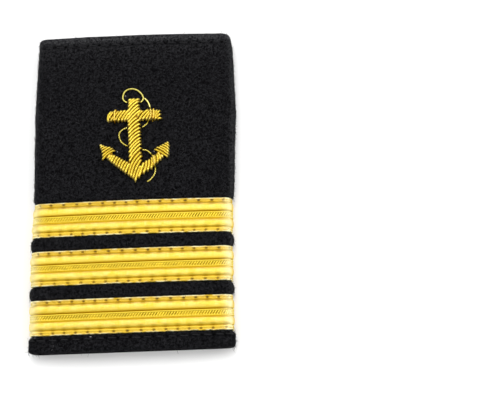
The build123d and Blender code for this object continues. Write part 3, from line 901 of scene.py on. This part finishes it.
# Anchor of bullion over padding. Places are millimetres on the board.
shank_strand, stock_strand, arm_strand, fluke_strand = 0.345, 0.37, 0.385, 0.32     # radii
bend_reach = 0.40         # how far the bends at a strand's ends reach along it
side_fall = 0.16          # how much lower the padding is at its sides than along its middle
strand_top = 0.70         # how high a strand's top is over the padding
strand_sides = 12
strand_points = 12        # along a strand between its bends
strand_spare = 0.8        # how far beyond its sides the padding still lifts a strand
scatter = 0.03            # how far a strand's ends and its bow may be off
padding_sides = 20
wire_step = 0.09          # between the points of a wire's middle line
climb_reach = 9           # points over which a wire climbs before a crossing
crossing_reach = 4        # points by which a crossing is taken wider at each side
band_radius, loop_radius = 0.25, 0.11

# Padding under the bullion between two places: half its width and its height at each end
Bar = namedtuple("Bar", "x1 y1 x2 y2 half1 half2 rise1 rise2")
bars = {
    "shank": Bar(1.30, 6.2, 0.85, 24.4, 1.75, 1.60, 1.10, 1.10),
    "stock": Bar(-5.1, 20.55, 7.1, 20.55, 1.50, 1.45, 0.95, 0.95),
    "crown": Bar(1.25, 5.2, 1.20, 3.2, 1.70, 1.20, 1.10, 0.85),
    "arm_left": Bar(0.2, 4.5, -5.6, 8.2, 1.40, 0.95, 1.00, 0.85),
    "arm_right": Bar(2.2, 4.2, 8.1, 8.2, 1.55, 1.05, 1.00, 0.85),
    "fluke_left": Bar(-6.6, 9.5, -8.2, 11.6, 1.75, 0.40, 0.80, 0.40),
    "fluke_right": Bar(8.7, 9.6, 10.3, 11.8, 1.65, 0.40, 0.80, 0.40),
}


def padding(x, y, spare=0.0):
    """Height of the padding above the felt: the highest of the flat ridges over the bars, each widened by
    the spare."""
    x, y = np.broadcast_arrays(np.asarray(x, float), np.asarray(y, float))
    best = np.zeros(x.shape)
    for bar in bars.values():
        way_x, way_y = bar.x2 - bar.x1, bar.y2 - bar.y1
        share = ((x - bar.x1) * way_x + (y - bar.y1) * way_y) / (way_x ** 2 + way_y ** 2)
        share = np.clip(share, 0.0, 1.0)
        off = np.hypot(x - bar.x1 - share * way_x, y - bar.y1 - share * way_y) - spare
        off = np.maximum(off, 0.0) / part_way(bar.half1, bar.half2, share)
        fall = (1.0 - side_fall * np.minimum(off, 1.0) ** 2) * np.clip((1.1 - off) / 0.1, 0.0, 1.0)
        best = np.maximum(best, part_way(bar.rise1, bar.rise2, share) * fall)
    return best


def padding_bodies():
    """The yellow felt under the bullion, seen between its strands."""
    shape = Shape()
    angles = np.arange(padding_sides) * 2 * math.pi / padding_sides
    for bar in bars.values():
        start, end = np.array([bar.x1, bar.y1]), np.array([bar.x2, bar.y2])
        length = np.linalg.norm(end - start)
        way = (end - start) / length
        half1, half2 = 0.72 * bar.half1, 0.72 * bar.half2
        run = np.concatenate([-half1 * np.cos(np.linspace(0.15, math.pi / 2, 6)),
                              np.linspace(0, length, 12)[1:-1],
                              length + half2 * np.sin(np.linspace(0, math.pi / 2 - 0.15, 6))])
        share = np.clip(run / length, 0, 1)
        half = part_way(half1, half2, share)
        past = np.maximum(np.maximum(-run, run - length), 0.0)
        shrink = np.sqrt(np.maximum(1.0 - (past / half) ** 2, 0.0))
        rise = part_way(bar.rise1, bar.rise2, share) * shrink ** 0.5
        wide = np.abs(np.cos(angles))[None] / (half * shrink)[:, None]
        tall = np.maximum(np.sin(angles)[None], 0.0) / rise[:, None]
        below = np.maximum(-np.sin(angles)[None], 0.0) / 0.08
        size = (wide ** 3 + tall ** 3 + below ** 3) ** (-1 / 3)
        points, faces, _ = tube(on_felt(start + run[:, None] * way, 0.10), size, padding_sides)
        shape.add(points, faces)
    piece("bullion_padding", shape, padding_felt)


def crest_of(points, path, size):
    """1 along the top of a tube and 0 along its sides and bottom."""
    above = points[:-2, 2].reshape(len(path), -1) - path[:, 2:3]
    return np.concatenate([np.clip(above / size, 0.0, 1.0).ravel(), [0.5, 0.5]])


def lay_strand(shape, low, high, radius, bow, shade):
    """One strand of bullion from low to high. It comes up out of the felt, bends over the padding and goes
    down again. bow is how far its middle lies to the left of the straight line, shade how pale it is."""
    low = low + chance.uniform(-scatter, scatter, 2)
    high = high + chance.uniform(-scatter, scatter, 2)
    length = np.linalg.norm(high - low)
    way = (high - low) / length
    side = np.array([-way[1], way[0]])
    reach = min(bend_reach, 0.4 * length)
    up = np.radians([0, 15, 30, 45, 60, 75, 90])
    bend = reach * (1.0 - np.cos(up))
    middle = np.linspace(reach, length - reach, strand_points + 2)[1:-1]
    run = np.concatenate([bend, middle, length - bend[::-1]])
    risen = np.concatenate([np.sin(up), np.ones(strand_points), np.sin(up)[::-1]])
    share = run / length
    bow = bow + chance.uniform(-scatter, scatter)
    flat = low + share[:, None] * (high - low) + (bow * np.sin(share * math.pi))[:, None] * side
    lift = padding(flat[:, 0], flat[:, 1], strand_spare)
    path = on_felt(flat, fit_gap + 0.3 * radius + (lift + 0.55 * radius) * risen)
    size = radius * (1.0 + chance.uniform(-0.04, 0.03))
    points, faces, along = tube(path, size, strand_sides, (*side, 0.0))
    from_end = np.append(np.repeat(np.minimum(run, length - run), strand_sides), [0.0, 0.0])
    tip = bell(from_end, 0.30) * chance.uniform(0.5, 1.0)
    tint = np.clip(shade + chance.uniform(-0.25, 0.25), 0.0, 1.0)
    shape.add(points, faces, along=along, tint=tint, tip=tip, crest=crest_of(points, path, size))


def strands_between(rows, pitch):
    """Strands spaced evenly between the given ones. Each row is low x, low y, high x, high y and bow."""
    rows = np.asarray(rows, float)
    strands = [rows[0]]
    for before, after in zip(rows, rows[1:]):
        span = (np.hypot(*(after - before)[:2]) + np.hypot(*(after - before)[2:4])) / 2
        count = max(round(span / pitch), 1)
        strands += [part_way(before, after, (n + 1) / count) for n in range(count)]
    return strands


def bullion_part(name, rows, radius, shade):
    """One raised part of the anchor, of strands laid side by side."""
    shape = Shape()
    for x1, y1, x2, y2, bow in rows:
        lay_strand(shape, (x1, y1), (x2, y2), radius, bow, shade)
    piece("bullion_" + name, shape, bullion_gold, ["anchor_" + name])


shank_rows = [
    (-0.40, 6.95, 2.89, 10.86, 0.25),
    (-0.40, 8.20, 2.83, 11.94, 0.25),
    (-0.42, 9.45, 2.77, 12.90, 0.24),
    (-0.42, 10.70, 2.75, 13.79, 0.22),
    (-0.45, 11.85, 2.66, 14.76, 0.28),
    (-0.52, 12.95, 2.68, 15.69, 0.32),
    (-0.56, 14.10, 2.62, 16.77, 0.28),
    (-0.59, 15.14, 2.58, 17.93, 0.26),
    (-0.62, 16.19, 2.50, 19.12, 0.25),
    (-0.63, 17.40, 1.90, 19.80, 0.18),
    (-0.65, 18.40, 2.90, 21.95, 0.22),
    (-0.70, 19.45, 2.48, 22.71, 0.22),
    (-0.72, 20.50, 2.36, 23.64, 0.20),
    (-0.62, 21.85, 2.20, 24.68, 0.18),
    (-0.50, 23.10, 2.40, 25.40, 0.32),
    (-0.47, 24.05, 1.14, 25.50, 0.12),
    (-0.45, 24.80, 0.20, 25.45, 0.05),
]
stock_left_rows = [
    (-6.38, 19.07, -5.44, 21.89, 0.45),
    (-6.10, 19.85, -4.75, 21.88, 0.10),
    (-5.63, 19.26, -3.50, 21.96, 0.08),
    (-4.42, 19.25, -2.50, 22.08, 0.09),
    (-3.59, 19.02, -1.49, 22.10, 0.17),
    (-2.58, 19.08, -0.49, 22.13, 0.15),
    (-1.72, 19.10, -0.15, 21.45, 0.12),
    (-0.95, 19.15, -0.10, 20.40, 0.05),
]
stock_right_rows = [
    (2.04, 20.10, 3.45, 21.75, 0.14),
    (2.53, 19.05, 5.03, 22.12, 0.30),
    (3.43, 19.20, 5.60, 21.80, 0.05),
    (4.50, 19.22, 6.35, 21.90, 0.08),
    (5.40, 19.25, 6.98, 21.85, 0.05),
    (6.20, 19.32, 7.56, 21.92, 0.05),
    (6.78, 19.75, 8.32, 21.82, 0.05),
    (6.90, 19.24, 8.52, 20.76, 0.02),
    (7.80, 19.30, 8.72, 19.55, 0.00),
]
arm_left_rows = [
    (-6.48, 8.03, -5.95, 9.15, 0.00),
    (-5.54, 6.98, -4.58, 8.81, 0.07),
    (-1.58, 3.69, -0.34, 6.35, 0.10),
]
crown_rows = [
    (-0.70, 3.05, 2.77, 9.47, 0.66),
    (-0.06, 2.52, 3.01, 8.49, 0.56),
    (0.58, 2.10, 2.84, 7.23, 0.26),
    (1.16, 1.30, 2.74, 5.52, 0.12),
]
arm_right_rows = [
    (2.19, 2.27, 3.61, 6.43, -0.08),
    (3.50, 3.43, 4.37, 6.97, -0.26),
    (4.65, 4.12, 5.16, 7.27, -0.20),
    (5.63, 4.66, 5.87, 7.94, -0.24),
    (6.55, 5.50, 6.63, 8.44, -0.15),
    (7.38, 6.28, 7.30, 8.83, -0.25),
    (8.30, 7.22, 7.72, 9.30, -0.14),
    (8.90, 7.91, 8.66, 8.60, 0.00),
]
fluke_left_rows = [
    (-8.11, 7.84, -4.72, 10.40, 0.36),
    (-8.15, 8.95, -5.35, 11.00, 0.12),
    (-8.22, 9.98, -6.03, 11.38, 0.10),
    (-8.42, 10.80, -6.98, 11.62, 0.05),
    (-8.72, 11.42, -7.82, 11.96, 0.02),
    (-8.75, 11.98, -8.42, 12.25, 0.00),
]
fluke_right_rows = [
    (6.72, 10.35, 10.30, 8.05, 0.15),
    (7.40, 10.92, 10.60, 8.75, 0.19),
    (8.14, 11.20, 10.62, 9.50, 0.24),
    (8.88, 11.60, 10.68, 10.36, 0.17),
    (9.63, 12.03, 10.70, 11.25, 0.09),
    (10.32, 12.38, 10.62, 12.05, 0.00),
]

# Wires laid on the felt: x and y of their middle line
ring_route = [(-1.05, 24.72), (-1.45, 24.95), (-2.10, 25.55), (-2.30, 26.55), (-1.78, 28.00), (-0.74, 28.72),
              (0.38, 28.86), (1.50, 28.60), (2.60, 27.82), (3.30, 26.90), (3.58, 26.15), (3.42, 25.35),
              (3.02, 24.90), (2.62, 24.70)]
rope_upper_route = [(3.86, 25.95), (4.22, 25.58), (4.72, 25.02), (5.10, 24.35), (5.40, 23.45),
                    (5.66, 22.60), (5.84, 21.80), (5.92, 20.97), (5.86, 20.20), (5.68, 19.55),
                    (5.30, 18.98), (4.82, 18.46), (4.30, 17.92), (3.75, 17.50), (3.15, 17.10)]
rope_left_route = [(-1.05, 17.15), (-2.15, 16.78), (-2.95, 16.20), (-3.38, 15.55), (-3.47, 14.85),
                   (-3.32, 14.10), (-2.95, 13.25), (-2.43, 12.60), (-1.83, 12.11), (-0.95, 11.68)]
rope_lower_route = [(3.10, 10.42), (3.76, 10.38), (4.45, 10.18), (5.05, 9.75), (5.54, 9.18), (6.05, 8.55),
                    (6.38, 7.90), (6.56, 7.08), (6.68, 6.04), (6.80, 5.21), (6.80, 4.45), (6.66, 3.58),
                    (6.25, 2.72), (5.68, 1.98), (5.04, 1.42), (4.38, 1.00)]
band_left_route = [(-4.10, 22.45), (-4.47, 21.45), (-4.52, 20.60), (-4.62, 19.80), (-4.60, 18.70)]
band_right_route = [(6.60, 22.40), (6.67, 21.68), (6.70, 21.01), (6.65, 20.26), (6.50, 19.10)]
band_loop = [(6.00, 19.50), (6.30, 19.50), (6.42, 19.20), (6.25, 18.92), (6.00, 18.85)]


def wire_path(route, radius):
    """Middle line of a wire that lies on the felt and climbs over the bullion it crosses."""
    flat = smooth_path(route, wire_step)
    over = padding(flat[:, 0], flat[:, 1])
    over = np.where(over > 0.05, over + strand_top, 0.0)
    padded = np.pad(over, climb_reach, mode="edge")
    crossing = range(-crossing_reach, crossing_reach + 1)
    over = np.max([padded[climb_reach + n:climb_reach + n + len(flat)] for n in crossing], axis=0)
    weights = bell(np.arange(-climb_reach, climb_reach + 1), 5.0)
    over = np.convolve(np.pad(over, climb_reach, mode="edge"), weights / weights.sum(), "valid")
    return on_felt(flat, fit_gap + radius + over)


def cord_of_wire(name, route, radius, bead, depth, smooth_until=0.0, shade=1.3):
    """A cord twisted from two wires, laid along a route. It is nearly smooth up to a share of its length.
    bead is the length of one bead of the twist, depth how deep the twist is and shade how pale it is."""
    path = wire_path(route, radius)
    run = distances(path)
    angles = np.arange(strand_sides) * 2 * math.pi / strand_sides
    twisted = smooth_step((run / run[-1] - smooth_until) / 0.1 + 0.5)[:, None]
    deep = part_way(0.04, depth, twisted)
    wave = np.cos(2.0 * (angles[None] - math.pi * run[:, None] / bead))
    size = radius * (1.0 - deep + deep * wave)
    taper = np.minimum(1.0, 0.35 + np.minimum(run, run[-1] - run) / 0.25)
    points, faces, along = tube(path, size * taper[:, None], strand_sides)
    # painted shade in the furrows of the twist, through a lower tint and crest there
    furrow = 0.5 - 0.5 * wave
    tint = shade + 0.25 * cloudy(points, 1.8, 9)
    tint[:-2] -= (furrow * (0.15 + 0.85 * twisted)).ravel()
    crest = crest_of(points, path, radius)
    crest[:-2] -= (furrow * 0.5 * twisted).ravel()
    shape = Shape()
    shape.add(points, faces, along=along, tint=np.clip(tint, 0, 1), crest=np.clip(crest, 0, 1),
              tip=np.clip(0.7 * padding(points[:, 0], points[:, 1]), 0, 1))
    piece("wire_" + name, shape, wire_gold, ["anchor_" + name])


def band(name, route, loop=()):
    """A bowed wire across the stock, from its top foot to its bottom foot. A loose thread may end in a loop
    on the felt beside it."""
    flat = smooth_path(route, 0.12)
    run = distances(flat)
    bow = np.minimum(1.0, 2.6 * np.sin(math.pi * run / run[-1])) ** 0.6
    over = (padding(0.0, route[0][1] - 1.5) + strand_top) * bow
    path = on_felt(flat, fit_gap + 0.16 + over)
    points, faces, along = tube(path, band_radius, 10, (1, 0, 0))
    shape = Shape()
    shape.add(points, faces, along=along, tint=0.7, tip=0.0, crest=crest_of(points, path, band_radius))
    if loop:
        path = on_felt(smooth_path(loop, 0.1), fit_gap + 0.12)
        points, faces, along = tube(path, loop_radius, 8)
        shape.add(points, faces, along=along, tint=0.0, tip=0.0, crest=0.5)
    piece("wire_" + name, shape, band_gold, ["anchor_" + name])


def anchor():
    padding_bodies()
    arm_rows = strands_between(arm_left_rows, pitch=0.84) + crown_rows + arm_right_rows
    bullion_part("stock_left", stock_left_rows, stock_strand, shade=0.42)
    bullion_part("stock_right", stock_right_rows, stock_strand, shade=0.48)
    bullion_part("arms", arm_rows, arm_strand, shade=0.52)
    bullion_part("shank", shank_rows, shank_strand, shade=0.82)
    bullion_part("fluke_left", fluke_left_rows, fluke_strand, shade=0.15)
    bullion_part("fluke_right", fluke_right_rows, fluke_strand, shade=0.20)
    cord_of_wire("ring", ring_route, radius=0.27, bead=0.50, depth=0.08, smooth_until=1.2, shade=0.34)
    cord_of_wire("rope_upper", rope_upper_route, radius=0.27, bead=0.57, depth=0.24, smooth_until=0.45)
    cord_of_wire("rope_left", rope_left_route, radius=0.26, bead=0.56, depth=0.24)
    cord_of_wire("rope_lower", rope_lower_route, radius=0.26, bead=0.56, depth=0.20)
    band("band_left", band_left_route)
    band("band_right", band_right_route, band_loop)


felt_sleeve()
fuzz("felt_fuzz", 9000, lengths=(0.35, 1.1), stands=(0.12, 0.7), radii=(0.014, 0.034))
fuzz("felt_fibres", 6000, lengths=(0.6, 1.8), stands=(0.02, 0.22), radii=(0.035, 0.060))
lint()
hem_stitches()
for number, (name, start) in enumerate(zip(lace_names, lace_starts)):
    lace_stripe(name, start, number)
anchor()


# Floor, light and camera
floor_size, floor_drop = 1600.0, 0.02     # the floor lies just under the board


def floor():
    made, shader = material("floor", Roughness=0.9, Specular_IOR_Level=0.1)
    colour = mix(made, noise(made, 60.0, 2.0), (0.88, 0.88, 0.875), (0.91, 0.91, 0.905))
    finish_look(made, shader, colour)
    bpy.ops.mesh.primitive_plane_add(size=floor_size * MM, location=(0, 0, -floor_drop * MM))
    plane = bpy.context.object
    plane.name = "floor"
    plane.data.materials.append(made)


def soft_light(name, place_at, size, power):
    """A round soft light that shines on the board. Its place and size are in metres."""
    data = bpy.data.lights.new(name, "AREA")
    data.shape = "DISK"
    data.size = size
    data.energy = power
    lamp = bpy.data.objects.new(name, data)
    bpy.context.scene.collection.objects.link(lamp)
    lamp.location = place_at
    way = Vector() - Vector(place_at)
    lamp.rotation_euler = way.to_track_quat("-Z", "Y").to_euler()


def studio():
    world = bpy.data.worlds.new("studio")
    world.use_nodes = True
    background = world.node_tree.nodes["Background"]
    background.inputs["Color"].default_value = (1.0, 1.0, 1.0, 1.0)
    background.inputs["Strength"].default_value = 0.60
    bpy.context.scene.world = world
    soft_light("key", (0.02, 0.18, 0.57), size=0.34, power=1.8)
    soft_light("left", (-0.46, 0.0, 0.42), size=0.60, power=1.3)
    soft_light("right", (0.46, 0.0, 0.42), size=0.60, power=1.9)
    bpy.context.scene.view_settings.view_transform = "Standard"


# The camera looks down from a little beyond the board's bottom end, at a place to the right of the board.
photo_width = 500
focal_pixels = 924.0
sensor_width = 36.0
look_at = (33.3, -3.6, 0.0)
camera_distance = 270.0
camera_tilt = math.radians(12.0)
camera_roll = math.radians(-2.12)


def camera():
    data = bpy.data.cameras.new("camera")
    data.sensor_width = sensor_width
    data.lens = focal_pixels / photo_width * sensor_width
    data.clip_start, data.clip_end = 0.01, 10.0
    made = bpy.data.objects.new("camera", data)
    bpy.context.scene.collection.objects.link(made)
    back = Vector((0.0, -math.sin(camera_tilt), math.cos(camera_tilt)))
    right = Vector((1.0, 0.0, 0.0))
    up = back.cross(right)
    rolled_right = right * math.cos(camera_roll) + up * math.sin(camera_roll)
    rolled_up = up * math.cos(camera_roll) - right * math.sin(camera_roll)
    turn = Matrix((rolled_right, rolled_up, back)).transposed().to_4x4()
    where = Vector(look_at) * MM + back * camera_distance * MM
    made.matrix_world = Matrix.Translation(where) @ turn
    bpy.context.scene.camera = made


floor()
studio()
camera()
